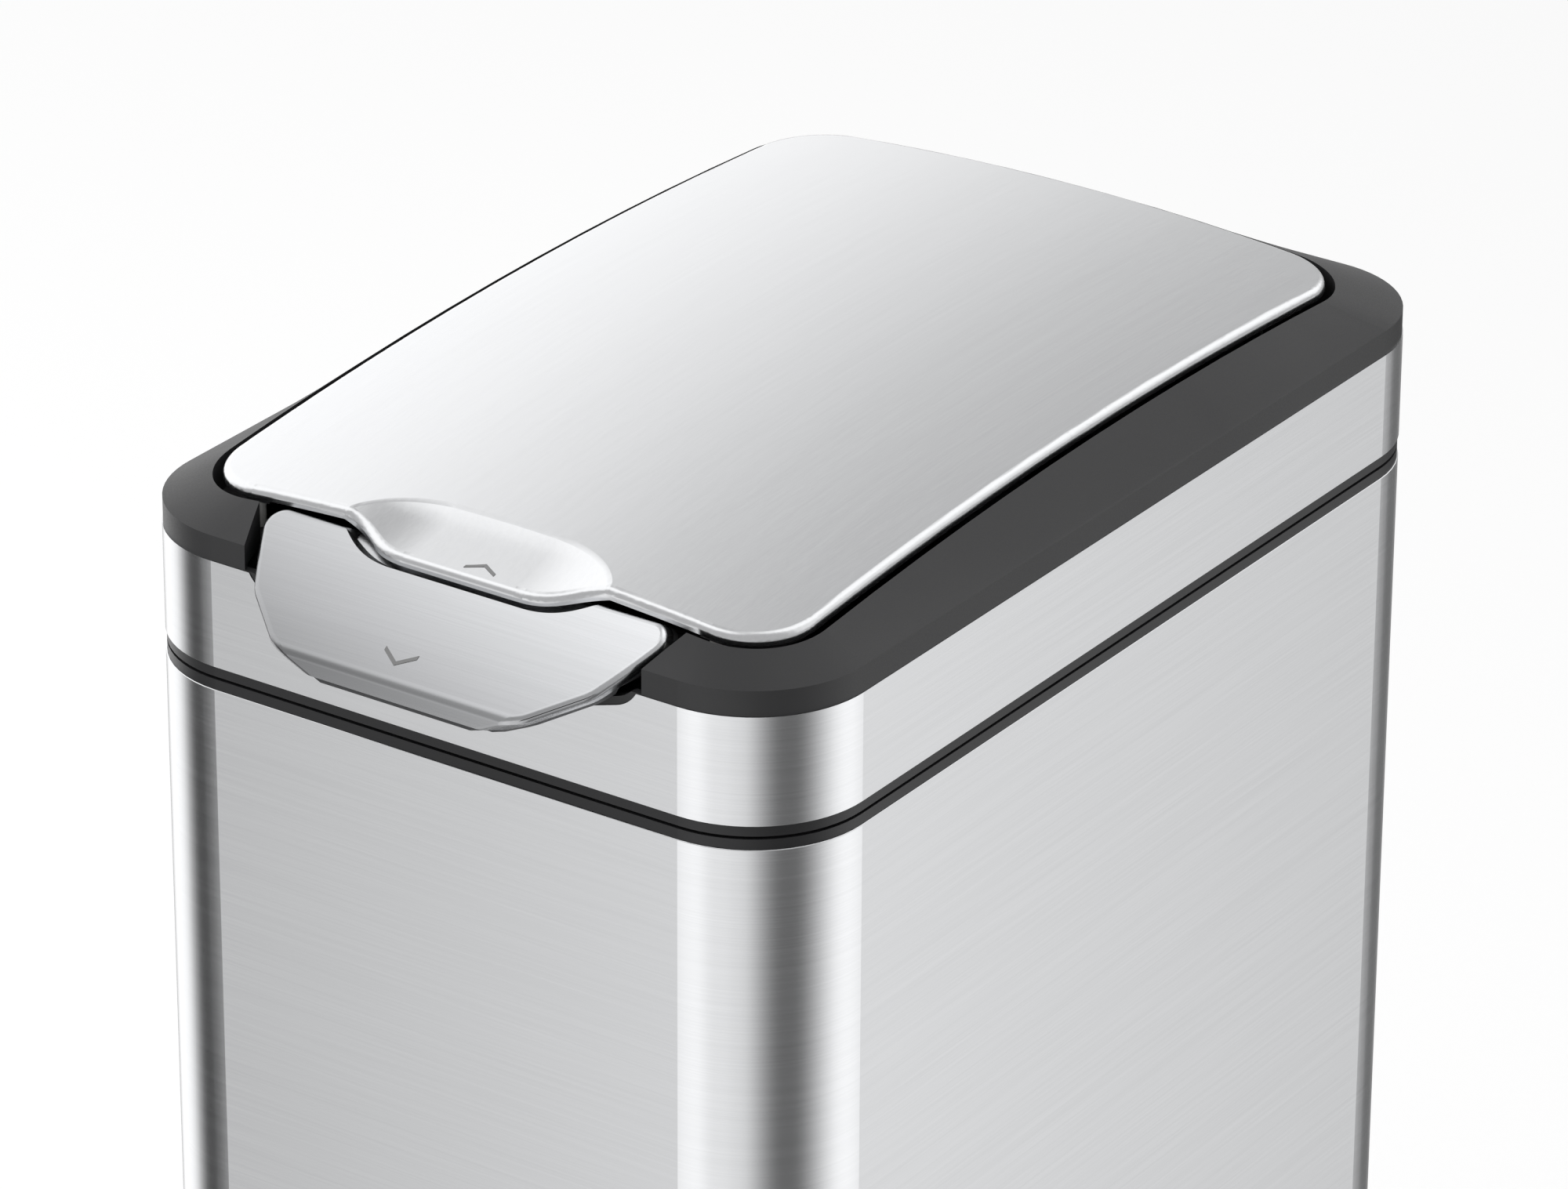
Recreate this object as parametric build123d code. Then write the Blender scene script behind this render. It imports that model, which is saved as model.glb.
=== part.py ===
from build123d import *
from math import asin, atan, cos, degrees, pi, radians, sin, sqrt, tan
import os

# Touch top kitchen bin in millimetres, +Z up, front towards -Y, standing on z = 0.
# It is drawn with x = y = 0 on the body's plan centre and moved at the end, so that
# the origin is the bottom centre of the whole object, tongue included.

# Body
body_width = 250.0
body_depth = 375.0
corner_radius = 39.0
body_top = 546.0            # upper edge of the steel shell above the floor
shell_wall = 0.7
base_band = 12.0            # plastic foot that shows below the shell
base_inset = 1.5
base_floor = 2.5
base_plug = 15.0
plug_wall = 2.4
pad_radius = 13.0
pad_thickness = 3.0
pad_stand = 1.5             # how far the pads stand out below the foot
pad_from_corner = 34.0

# Seam between body and hood
seam_inset = 0.4
seam_bead = 3.4             # height of each of the two dark rings
seam_groove = 1.0
rim_land = 5.0              # width of the body rim's upper face
rim_skirt = 22.0
ledge_depth = 5.0           # bucket's ledge below the shell's edge
ledge_reach = 11.0
ledge_thickness = 3.0
skirt_wall = 2.2
fit_gap = 0.15              # pieces pushed together and never moved
slide_gap = 0.5             # pieces that lift off or slide

# Bucket
bucket_wall = 1.8
bucket_flange = 2.5
bucket_wall_inset = 12.5
bucket_draft = 13.0         # how much each side draws in down to the floor
bucket_bottom = 18.0
bucket_corner = 12.0        # corner radius at the floor
hand_slot_width = 95.0
hand_slot_height = 24.0
hand_slot_drop = 24.0

# Hood
band_height = 35.5
bezel_side = 8.4            # upright side of the bezel above the band
bezel_inset = 0.3
bezel_skin = 2.6
bezel_wall = 2.4
web_thickness = 2.5
ring_plug = 12.0
lip_drop = 2.2              # bezel's inner lip below the lid's top surface
ledge_level = 3.7           # lid ledge above the band's upper edge
bezel_ledge = 2.5
bezel_ledge_reach = 9.0

# Lid
side_border = 18.15         # body's side to lid's side edge
front_border = 18.4         # body's front face to lid's front edge
back_border = 31.5
lid_corner = 22.6
lid_gap = 3.3
lid_sheet = 0.8
lid_roll = 2.6              # radius of the rolled edge
lid_rim = 3.6
crown_above_band = 32.3
crown_across = 952.0        # radius of the dome across the width
crown_along = 1770.0        # radius of the dome along the depth
crown_back = 23.8           # highest point behind the body's centre
liner_inset = 2.5
liner_skin = 2.2
liner_depth = 6.0
liner_back_inset = 5.5
liner_relief = 4.0          # cut back behind the tongue

# Nose of the lid and its finger scoop
nose_half = 49.5
nose_flat_half = 22.5
nose_reach = 7.6
scoop_length = 16.2         # from the lid's front edge back to the scoop's end
scoop_slope = 36.0          # degrees below level, where it starts
scoop_radius = 44.0         # front to back
scoop_flat_half = 19.0
scoop_end_radius = 102.0    # across, where it rises to the sides
scoop_soften = 4.0          # radius on the line where dome and scoop meet

# Push tongue
tongue_reach = 23.5         # how far it stands in front of the body
tongue_slope = 30.5
tongue_top_gap = 2.8        # in front of the lid's edge
tongue_top_level = 15.9     # its upper edge above the band's upper edge
tongue_top_half = 77.0
tongue_mid_half = 70.4      # halfway down the side curve
tongue_side_half = 62.3     # at the side curve's lower end
tongue_side_length = 31.0   # down the slope to there
tongue_turn_radius = 15.0   # where the sides turn in to the lower corners
tongue_flat_half = 32.5     # half of its straight lower edge
tongue_low_rise = 24.6      # degrees above level, of its cut lower corners
tongue_bottom_drop = 13.5   # its lower edge below the band's upper edge
tongue_tip_radius = 6.0
tongue_bend = 4.0           # radius where the slope turns down at the front
tongue_roll = 2.0           # radius of its rolled edges
tongue_flange = 4.5
tongue_depth = 7.0          # skin and carrier together
carrier_wall = 2.2
pocket_half = 46.5
pocket_flat_half = 24.0
pocket_length = 8.8         # down the slope from the tongue's upper edge
pocket_depth = 5.0
pocket_draft = 2.5

# Notch in the hood for the tongue
notch_half = 73.0
notch_back_half = 80.0
notch_low_half = 52.0
notch_drop = 9.3            # below the band's upper edge
notch_radius = 12.0
notch_shoulder = 3.0
notch_lip = 2.8
notch_wall = 2.4

# Tongue's mechanism
push_pin_radius = 2.0
push_pin_below = 7.3        # under the band's upper edge
push_pin_back = 29.5        # behind the body's front face
push_arm_x = 38.0
push_arm_width = 4.0
push_hub_radius = 4.5
push_travel = 5.0           # degrees
housing_wall = 2.0
housing_floor_drop = 14.3   # upper side of its floor below the band's upper edge
housing_back = 40.0         # back wall behind the body's front face
housing_ear_wall = 3.0
spring_wire = 0.6
spring_coil = 3.4
spring_turns = 6
spring_x = 20.0
spring_back = 10.0          # behind the body's front face
spring_length = 15.0
spigot_radius = 2.5
spigot_height = 3.0
beam_rise = 10.0            # beam's upper side above the pivot
beam_depth = 9.0
hook_half = 12.0
hook_thickness = 3.0
hook_rise = 19.0
hook_barb = 3.2
striker_gap = 0.3
striker_lip = 2.0
striker_foot = 18.0

# Lid hinge
hinge_back = 17.5           # in front of the body's back face
hinge_above_band = 2.7
rod_radius = 2.5
rod_half = 81.0
pivot_gap = 0.05            # radial clearance of pins that turn
arm_inner_radius = 25.4
arm_ring = 4.5
arm_x = 56.0
arm_width = 8.0
arm_hub_radius = 6.0
arm_hub_length = 17.5
arm_foot = 26.0
arm_foot_width = 24.0
arm_foot_thickness = 3.0
hinge_boss = 3.0
hinge_inner_x = 20.0
boss_drop = 6.0             # bosses reach this far under the rod's centre
torsion_wire = 0.8
torsion_turns = 14
gear_module = 1.0
gear_teeth = 16
pinion_teeth = 10
gear_width = 6.0
tooth_addendum = 0.8
tooth_dedendum = 1.1
tooth_play = 0.12
pressure_angle = 25.0
damper_radius = 7.2
damper_length = 9.0
damper_ear_x = 10.5
damper_ear_radius = 3.2

# Fasteners
screw_radius = 1.5
screw_head = 3.0
screw_head_height = 1.8
screw_length = 12.0
screw_play = 0.05
spot_face = 0.4             # flat cut under a screw head on a sloping underside
post_radius = 4.0
bumper_radius = 2.5
bumper_x = 85.0
bumper_back = 4.0           # behind the lid's front edge
arm_neck = 6.0              # where the arm's ring joins its foot

# Levels and places worked out from the sizes above
half_width = body_width / 2
lid_width = body_width - 2 * side_border
front = -body_depth / 2
back = body_depth / 2
seam_top = body_top + 2 * seam_bead + seam_groove
band_top = seam_top + band_height
shoulder = band_top + bezel_side
crown_top = band_top + crown_above_band
lid_front = front + front_border
lid_back = back - back_border
lid_length = lid_back - lid_front
lid_middle = (lid_front + lid_back) / 2
ledge_top = band_top + ledge_level
web_top = seam_top + web_thickness
hinge_y = back - hinge_back
hinge_z = band_top + hinge_above_band
push_y = front + push_pin_back
push_z = band_top - push_pin_below
housing_floor = band_top - housing_floor_drop
spring_top = housing_floor + spring_length
tongue_top_y = lid_front - tongue_top_gap
tongue_top_z = band_top + tongue_top_level
tongue_front = front - tongue_reach
tongue_bottom = band_top - tongue_bottom_drop
reach = 2 * body_depth      # longer than anything it cuts


# Plan shapes

def rounded(width, depth, radius, y=0.0):
    return Pos(0, y) * RectangleRounded(width, depth, radius)


def outline(inset):
    """The body's plan, drawn in by inset on every side."""
    return rounded(body_width - 2 * inset, body_depth - 2 * inset, corner_radius - inset)


def slab(sketch, low, high):
    return Pos(0, 0, low) * extrude(sketch, high - low)


def frame(outer, inner, low, high):
    """A flat ring between two insets of the body's plan."""
    return slab(outline(outer) - outline(inner), low, high)


def opening(grow=0.0):
    """The lid's opening in the bezel; grow widens it."""
    gap = lid_gap + grow
    return rounded(lid_width + 2 * gap, lid_length + 2 * gap, lid_corner + gap, lid_middle)


def block(x0, x1, y0, y1, z0, z1):
    return Pos((x0 + x1) / 2, (y0 + y1) / 2, (z0 + z1) / 2) * Box(x1 - x0, y1 - y0, z1 - z0)


def rod_x(radius, x0, x1, y, z):
    """A round bar along X."""
    return Pos((x0 + x1) / 2, y, z) * Rot(0, 90, 0) * Cylinder(radius, x1 - x0)


def post(radius, x, y, low, high):
    return Pos(x, y, (low + high) / 2) * Cylinder(radius, high - low)


def side_plate(points, x0, x1):
    """A flat plate drawn as (y, z) points and as thick as x0 to x1."""
    face = make_face(Polyline(*[(x0, y, z) for y, z in points], close=True))
    return extrude(face, x1 - x0, dir=(1, 0, 0))


def screw_up(x, y, seat, length=screw_length):
    """A pan head screw driven upwards, its head under the level seat."""
    head = post(screw_head, x, y, seat - screw_head_height, seat)
    drive = post(screw_head / 2, x, y, seat - screw_head_height, seat - screw_head_height / 2)
    return head - drive + post(screw_radius, x, y, seat, seat + length)


# The domed surface of the lid

def crown_z(x, y, drop=0.0):
    """Height of the dome, lowered by drop, over a point of the plan."""
    ring = crown_along - drop - (crown_across - sqrt(crown_across ** 2 - x ** 2))
    return crown_top - crown_along + sqrt(ring ** 2 - (y - crown_back) ** 2)


def crown_block(drop=0.0):
    """Everything under the dome, lowered by drop."""
    radius = crown_across - drop
    half = half_width + lid_gap
    edge = crown_top - crown_across + sqrt(radius ** 2 - half ** 2)
    low = crown_top - body_width / 2
    top = ThreePointArc((-half, crown_back, edge), (0, crown_back, crown_top - drop),
                        (half, crown_back, edge))
    sides = Polyline((half, crown_back, edge), (half, crown_back, low),
                     (-half, crown_back, low), (-half, crown_back, edge))
    axis = Axis((0, crown_back, crown_top - crown_along), (1, 0, 0))
    swing = degrees(asin(body_depth / crown_along))
    face = make_face([top, sides]).rotate(axis, -swing)
    return revolve(face, axis, 2 * swing)


def scoop(drop=0.0):
    """The barrel-shaped tool that presses the finger scoop, grown by drop."""
    slope = radians(scoop_slope)
    start = lid_front + scoop_length
    radius = scoop_radius + drop
    bend = scoop_end_radius + drop
    end = scoop_flat_half + sqrt(bend ** 2 - (bend - radius) ** 2)
    middle = scoop_flat_half + bend * sin(radians(20))
    level = radius - bend + bend * cos(radians(20))
    curve = ThreePointArc((scoop_flat_half, radius), (middle, level), (end, 0))
    other = ThreePointArc((-end, 0), (-middle, level), (-scoop_flat_half, radius))
    face = make_face([other, Line((-scoop_flat_half, radius), (scoop_flat_half, radius)), curve,
                      Line((end, 0), (-end, 0))])
    tool = revolve(face, Axis.X)
    return Pos(0, start - scoop_radius * sin(slope),
               crown_z(0, start) + scoop_radius * cos(slope)) * tool


def nose_outline(inset=0.0):
    """The nose that reaches forward over the tongue."""
    root = lid_front + lid_corner
    tip = lid_front - nose_reach + inset
    edge = lid_front + inset
    half = nose_half - inset / 2
    flat = nose_flat_half - inset / 2
    bend = (half - flat) / 2
    right = Bezier((half, edge), (half - bend, edge), (flat + bend, tip), (flat, tip))
    left = Bezier((-flat, tip), (-flat - bend, tip), (-half + bend, edge), (-half, edge))
    rest = Polyline((-half, edge), (-half, root), (half, root), (half, edge))
    return make_face([right, Line((flat, tip), (-flat, tip)), left, rest])


def lid_outline(inset=0.0):
    plate = rounded(lid_width - 2 * inset, lid_length - 2 * inset, lid_corner - inset, lid_middle)
    return plate + nose_outline(inset)


def lid_block(inset, drop):
    """The lid's plan under the dome and the scoop, lowered by drop."""
    column = slab(lid_outline(inset), band_top - body_width / 4, crown_top + lid_rim)
    return column & crown_block(drop) - scoop(drop)


def side_edges(shape):
    """Edges of the shape's upright faces."""
    return [e for f in shape.faces() if abs(f.normal_at(f.center()).Z) < 0.02
            for e in f.edges()]


def rolled_lid(inset, soften):
    """A lid block, its line between dome and scoop softened and its edge rolled over."""
    shape = lid_block(inset, inset)
    sides = side_edges(shape)
    border = [e for e in shape.edges() if (e @ 0.5).Z > band_top and e not in sides]
    shape = fillet(border, soften)
    rim = [e for e in side_edges(shape)
           if e.geom_type != GeomType.LINE and (e @ 0.5).Z > band_top]
    return fillet(rim, lid_roll - inset)


# Body

def body_shell():
    shell = frame(0, shell_wall, base_band, body_top)
    rims = shell.edges().group_by(Axis.Z)[-1].sort_by(SortBy.LENGTH)[-8:]
    return fillet(rims, shell_wall * 0.45)


def base_tray():
    foot = slab(outline(base_inset), pad_stand, base_band)
    inner = shell_wall + fit_gap
    plug = frame(inner, inner + plug_wall, base_band, base_band + base_plug)
    shelf = slab(outline(seam_inset), base_band - base_floor, base_band)
    hollow = slab(outline(inner + plug_wall), pad_stand + base_floor, base_band)
    tray = foot + shelf + plug - hollow
    for x, y in pad_places():
        tray -= post(pad_radius + fit_gap, x, y, 0, pad_thickness)
        tray += post(pad_radius + plug_wall, x, y, pad_thickness, pad_thickness + base_floor)
    return tray


def pad_places():
    x = half_width - pad_from_corner
    y = back - pad_from_corner
    return [(-x, -y), (x, -y), (-x, y), (x, y)]


def foot_pads():
    return [post(pad_radius, x, y, 0, pad_thickness) for x, y in pad_places()]


def body_rim():
    bead = frame(seam_inset, rim_land, body_top, body_top + seam_bead)
    inner = shell_wall + fit_gap
    skirt = frame(inner, inner + skirt_wall, body_top - rim_skirt, body_top)
    riser = frame(inner, rim_land, body_top - ledge_depth, body_top)
    ledge = frame(inner, ledge_reach, body_top - ledge_depth - ledge_thickness,
                  body_top - ledge_depth)
    return bead + riser + ledge + skirt


# Bucket

def bucket_stack(grow, low):
    """A tapered pail shape; grow is negative for its inside."""
    top_inset = bucket_wall_inset - grow
    foot_inset = top_inset + bucket_draft
    top_radius = corner_radius - top_inset
    lid = rounded(body_width - 2 * top_inset, body_depth - 2 * top_inset, top_radius)
    foot = rounded(body_width - 2 * foot_inset, body_depth - 2 * foot_inset,
                   bucket_corner + grow)
    return loft([Pos(0, 0, low) * foot, Pos(0, 0, bucket_rim()) * lid])


def bucket_rim():
    return body_top - ledge_depth + bucket_flange


def inner_bucket():
    flange_edge = rim_land + slide_gap
    flange = frame(flange_edge, bucket_wall_inset + bucket_wall,
                   body_top - ledge_depth, bucket_rim())
    pail = bucket_stack(0, bucket_bottom) - bucket_stack(-bucket_wall,
                                                         bucket_bottom + bucket_wall)
    slot_z = bucket_rim() - hand_slot_drop - hand_slot_height / 2
    slot = RectangleRounded(hand_slot_width, hand_slot_height, hand_slot_height * 0.49)
    slot = extrude(Plane.XZ * slot, reach / 2, both=True)
    return pail + flange - Pos(0, 0, slot_z) * slot


# Hood

def post_places():
    """Screws that hold ring, band and bezel together, three on each long side."""
    x = half_width - ledge_reach - 1.0
    return [(side * x, y) for side in (-1, 1)
            for y in (lid_front + lid_length / 6, lid_middle, lid_back - lid_length / 6)]


def hood_ring():
    groove_inset = seam_inset + seam_groove * 1.6
    skirt_inset = rim_land + slide_gap
    bead_low = body_top + seam_bead + seam_groove
    bead = frame(seam_inset, rim_land + slide_gap + skirt_wall, bead_low, seam_top)
    land = frame(groove_inset, rim_land + slide_gap + skirt_wall, body_top + seam_bead, bead_low)
    skirt = frame(skirt_inset, skirt_inset + skirt_wall, bucket_rim() + slide_gap / 2,
                  body_top + seam_bead)
    inner = shell_wall + fit_gap
    web = frame(inner, ledge_reach + 1.0, seam_top - web_thickness, web_top)
    plug = frame(inner, inner + skirt_wall, web_top, web_top + ring_plug)
    ring = bead + land + skirt + web + plug
    for x, y in post_places():
        ring += post(post_radius + 1.0, x, y, seam_top, web_top)
        ring -= post(screw_head + slide_gap, x, y, bucket_rim(), seam_top)
        ring -= post(screw_radius + fit_gap, x, y, seam_top, web_top)
    return ring


def notch_profile(lift):
    """The notch seen from the front: lift raises its floor and shoulders."""
    top = crown_top + lid_rim
    floor = band_top - notch_drop + lift
    knee = band_top - notch_shoulder + lift
    points = [(-notch_half, top), (-notch_half, knee), (-notch_low_half, floor),
              (notch_low_half, floor), (notch_half, knee), (notch_half, top)]
    face = make_face(Polyline(*[(x, 0, z) for x, z in points], close=True))
    corners = [v for v in face.vertices() if v.Z < top - 1]
    return fillet(corners, notch_radius)


def notch_cut(lift=0.0):
    """The notch as a cutter, from in front of the hood back to the lid's opening."""
    depth = front_border + lid_gap
    face = Pos(0, front + depth, 0) * notch_profile(lift)
    return extrude(face, depth + tongue_reach, dir=(0, -1, 0))


def hood_band():
    return frame(0, shell_wall, seam_top, band_top) - notch_cut()


def notch_plan(grow=0.0):
    """Plan of the notch through the bezel's top, widening towards the lid."""
    out = front - tongue_reach
    inside = lid_front + bezel_ledge_reach
    widen = (notch_back_half - notch_half) / front_border
    near = notch_half + grow
    far = near + widen * (inside - front)
    return make_face(Polyline((-near, out), (-near, front), (-far, inside), (far, inside),
                              (near, front), (near, out), close=True))


def ring_loops(outer_inset, grow, lift):
    """Matching edges of the bezel's outer shoulder and its inner lip."""
    half_w, half_d = half_width - outer_inset, back - outer_inset
    radius = corner_radius - outer_inset
    lip_w = lid_width / 2 + lid_gap + grow
    lip_d = lid_length / 2 + lid_gap + grow
    lip_r = lid_corner + lid_gap + grow
    steps = 6

    def corner(kx, ky, w, d, r, y0, turn):
        return (kx * (w - r) + r * cos(turn), y0 + ky * (d - r) + r * sin(turn))

    pairs = []
    for quarter, (kx, ky) in enumerate([(1, 1), (-1, 1), (-1, -1), (1, -1)]):
        turns = [pi / 2 * (quarter + i / steps) for i in range(steps + 1)]
        pairs.append(([corner(kx, ky, half_w, half_d, radius, 0, t) for t in turns],
                      [corner(kx, ky, lip_w, lip_d, lip_r, lid_middle, t) for t in turns]))
    loops = []
    for index, (outer, inner) in enumerate(pairs):
        after_outer, after_inner = pairs[(index + 1) % 4]
        loops.append((outer, inner))
        straight = [[tuple(a + (b - a) * i / steps for a, b in zip(path[-1], ahead[0]))
                     for i in range(steps + 1)]
                    for path, ahead in ((outer, after_outer), (inner, after_inner))]
        loops.append(tuple(straight))
    raised = []
    for outer, inner in loops:
        middle = len(outer) // 2
        top = [(x, y, crown_z(x, y) - lip_drop + lift) for x, y in inner]
        raised.append((outer[0], outer[middle], outer[-1], inner[0], inner[middle], inner[-1], top))
    return raised


def plan_edge(first, middle, last, z):
    """An arc or, on the straight sides, a line through three plan points."""
    a, b, c = [Vector(x, y, z) for x, y in (first, middle, last)]
    if abs((b - a).cross(c - b).Z) < 1e-6:
        return Line(a, c).edge()
    return ThreePointArc(a, b, c).edge()


def sloped_ring(outer_inset, grow, lift, low, rim):
    """A solid ring: upright outside up to rim, then sloping to the lip round the lid."""
    faces = []
    outer_low, inner_low = [], []
    for o0, o1, o2, i0, i1, i2, top in ring_loops(outer_inset, grow, lift):
        lower = plan_edge(o0, o1, o2, low)
        upper = plan_edge(o0, o1, o2, rim)
        lip = Spline(*top).edge()
        foot = plan_edge(i0, i1, i2, low)
        outer_low.append(lower)
        inner_low.append(foot)
        faces += [Face.make_surface_from_curves(lower, upper),
                  Face.make_surface_from_curves(upper, lip),
                  Face.make_surface_from_curves(lip, foot)]
    faces.append(Face(Wire(outer_low), [Wire(inner_low)]))
    return Solid(Shell(faces))


def inside_bezel():
    """The room under the bezel's outer surface, for what is moulded onto it."""
    grow = fit_gap
    low = seam_top
    return sloped_ring(bezel_inset + bezel_skin / 2, -grow, -bezel_skin / 2, low, shoulder)


def yz_plate(sketch, x0, x1):
    """A sketch in Y and Z made as thick as x0 to x1."""
    return Pos(x0, 0, 0) * extrude(Plane.YZ * sketch, x1 - x0)


def housing_screw_places():
    near = notch_back_half + housing_wall + screw_head + 3.0
    y = front + shell_wall + fit_gap + skirt_wall + 2 * screw_head
    return [(side * x, y) for side in (-1, 1) for x in (near, near + 3.2 * screw_head)]


def boss_shape(low, half):
    """Outline of a hinge boss in Y and Z, cut later by the bezel's slope."""
    top = crown_top
    return Pos(hinge_y, (low + top) / 2) * Rectangle(2 * half, top - low)


def bezel():
    under = ledge_top - bezel_ledge
    top = sloped_ring(bezel_inset, 0, 0, under, shoulder)
    hollow = sloped_ring(bezel_inset + bezel_skin, bezel_wall, -bezel_skin,
                         under - bezel_ledge, shoulder - bezel_skin / 2)
    shelf = frame(bezel_inset, bezel_inset + bezel_skin, band_top, under)
    inner = shell_wall + fit_gap
    skirt = frame(inner, inner + skirt_wall, web_top + ring_plug, band_top)
    inset_size = 2 * (lid_gap - bezel_ledge_reach)
    ledge_hole = rounded(lid_width + inset_size, lid_length + inset_size,
                         lid_corner + inset_size / 2, lid_middle)
    ledge = slab(opening(bezel_wall / 2) - ledge_hole, under, ledge_top)
    hinge_room = block(-reach, reach, hinge_y - arm_inner_radius - 2 * arm_ring, back,
                       0, hinge_z + arm_hub_radius)
    ledge -= hinge_room
    body = top - hollow + shelf + skirt + ledge

    # The back wall stops above the arms and the gear
    wall_room = block(-rod_half, rod_half, hinge_y - arm_inner_radius,
                      hinge_y - arm_hub_radius + bezel_wall, 0, hinge_z + arm_hub_radius)
    body -= wall_room

    # Screw posts, hinge bosses and the notch's side walls
    room = inside_bezel()
    posts = [post(post_radius, x, y, web_top, crown_top) for x, y in post_places()]
    posts += [post(screw_head, x, y, under, crown_top) for x, y in housing_screw_places()]
    for shape in posts:
        body += shape & room
    inner_boss = boss_shape(hinge_z - boss_drop, boss_drop + 0.5)
    outer_x = arm_x + arm_hub_length + 1.0
    damper_half = damper_ear_x + damper_ear_radius
    damper_boss = boss_shape(damper_z() - damper_radius, damper_half)
    body += yz_plate(inner_boss, hinge_inner_x, hinge_inner_x + hinge_boss) & room
    body += yz_plate(inner_boss, -hinge_inner_x - hinge_boss, -hinge_inner_x) & room
    body += yz_plate(inner_boss, -outer_x - hinge_boss, -outer_x) & room
    body += yz_plate(damper_boss, outer_x, outer_x + hinge_boss) & (room + block(
        outer_x, outer_x + hinge_boss, hinge_y - damper_half,
        hinge_y + damper_half, 0, hinge_z))
    wedge = slab(notch_plan(notch_wall) - notch_plan(), under, crown_top)
    body += wedge & room

    # The notch itself, and the lip that lines the band's notch
    body -= slab(notch_plan(), under - 1.0, crown_top + lid_rim)
    body -= notch_cut(notch_lip)
    lip_room = block(-reach, reach, front + bezel_inset, front + inner + skirt_wall, 0, band_top)
    body += (notch_cut(fit_gap) - notch_cut(notch_lip)) & lip_room

    # Holes
    for x, y in post_places():
        body -= post(screw_radius + screw_play, x, y, web_top, web_top + screw_length)
    for x, y in housing_screw_places():
        body -= post(screw_radius + screw_play, x, y, under, under + screw_length / 2)
    body -= rod_x(rod_radius + pivot_gap, -rod_half, rod_half, hinge_y, hinge_z)
    body -= rod_x(pinion_outer() + slide_gap, outer_x, outer_x + hinge_boss, hinge_y, damper_z())
    for y in damper_screw_places():
        body -= rod_x(screw_radius + screw_play, outer_x, outer_x + hinge_boss, y, damper_z())
    return body


def bezel_screws():
    return [screw_up(x, y, seam_top) for x, y in post_places()]


def hinge_rod():
    return rod_x(rod_radius, -rod_half, rod_half, hinge_y, hinge_z)


def rod_clips():
    """Retaining rings pushed onto the rod against the outer bosses."""
    seat = arm_x + arm_hub_length + 1.0 + hinge_boss
    clips = []
    for side in (-1, 1):
        x0, x1 = sorted((side * (seat + fit_gap), side * (seat + fit_gap + 1.0)))
        ring = rod_x(rod_radius + 1.5, x0, x1, hinge_y, hinge_z)
        clips.append(ring - rod_x(rod_radius, x0, x1, hinge_y, hinge_z))
    return clips


def torsion_spring(side):
    """A coil round the rod with one leg up to the bezel and one along the arm."""
    coil = rod_radius + fit_gap * 2 + torsion_wire
    start = hinge_inner_x + hinge_boss + torsion_wire + fit_gap
    stop = arm_x - torsion_wire - fit_gap
    path = Helix((stop - start) / torsion_turns, stop - start, coil)
    wire = sweep(Plane(origin=path @ 0, z_dir=path % 0) * Circle(torsion_wire), path)
    wire = Pos(start, hinge_y, hinge_z) * Rot(0, 90, 0) * wire
    leg_up = post(torsion_wire, start, hinge_y - coil, hinge_z, hinge_z + 2 * coil)
    leg_arm = post(torsion_wire, stop, hinge_y - coil, hinge_z - arm_inner_radius, hinge_z)
    spring = wire + leg_up + leg_arm
    return spring if side > 0 else mirror(spring, Plane.YZ)


def lid_spring_left():
    return torsion_spring(-1)


def lid_spring_right():
    return torsion_spring(1)


# Gears of the damper

def pinion_outer():
    return gear_module * (pinion_teeth / 2 + tooth_addendum)


def damper_z():
    return hinge_z - gear_module * (gear_teeth + pinion_teeth) / 2


def gear_face(teeth, first):
    """An involute gear with the middle of one tooth at the angle first, in degrees."""
    pitch = gear_module * teeth / 2
    base = pitch * cos(radians(pressure_angle))
    outer = pitch + gear_module * tooth_addendum
    root = pitch - gear_module * tooth_dedendum
    roll = sqrt((pitch / base) ** 2 - 1)
    half = pi / 2 / teeth - tooth_play / 2 / pitch + roll - atan(roll)

    def flank(radius):
        if radius <= base:
            return half
        turn = sqrt((radius / base) ** 2 - 1)
        return half - (turn - atan(turn))

    def point(radius, angle):
        return (radius * cos(angle), radius * sin(angle))

    start = max(base, root)
    radii = [start + (outer - start) * i / 3 for i in range(4)]
    edges = []
    for tooth in range(teeth):
        middle = radians(first) + 2 * pi * tooth / teeth
        rise = [point(r, middle - flank(r)) for r in radii]
        fall = [point(r, middle + flank(r)) for r in reversed(radii)]
        follow = middle + 2 * pi / teeth
        foot_in = point(root, middle - flank(start))
        foot_out = point(root, middle + flank(start))
        foot_next = point(root, follow - flank(start))
        if root < start:
            edges += [Line(foot_in, rise[0]), Line(fall[-1], foot_out)]
        edges += [Spline(*rise), ThreePointArc(rise[-1], point(outer, middle), fall[0]),
                  Spline(*fall),
                  ThreePointArc(foot_out, point(root, middle + pi / teeth), foot_next)]
    return make_face(edges)


def damper_body():
    seat = arm_x + arm_hub_length + 1.0 + hinge_boss
    z = damper_z()
    can = rod_x(damper_radius, seat, seat + damper_length, hinge_y, z)
    ear = rod_x(damper_ear_radius, seat, seat + 2.0, hinge_y - damper_ear_x, z)
    ear += rod_x(damper_ear_radius, seat, seat + 2.0, hinge_y + damper_ear_x, z)
    ear += block(seat, seat + 2.0, hinge_y - damper_ear_x, hinge_y + damper_ear_x,
                 z - damper_ear_radius, z + damper_ear_radius)
    body = can + ear
    for y in damper_screw_places():
        body -= rod_x(screw_radius + fit_gap, seat, seat + 2.0, y, z)
    return body - rod_x(pinion_shaft() + pivot_gap, seat, seat + damper_length / 2, hinge_y, z)


def pinion_shaft():
    return gear_module * 2.0


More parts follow.
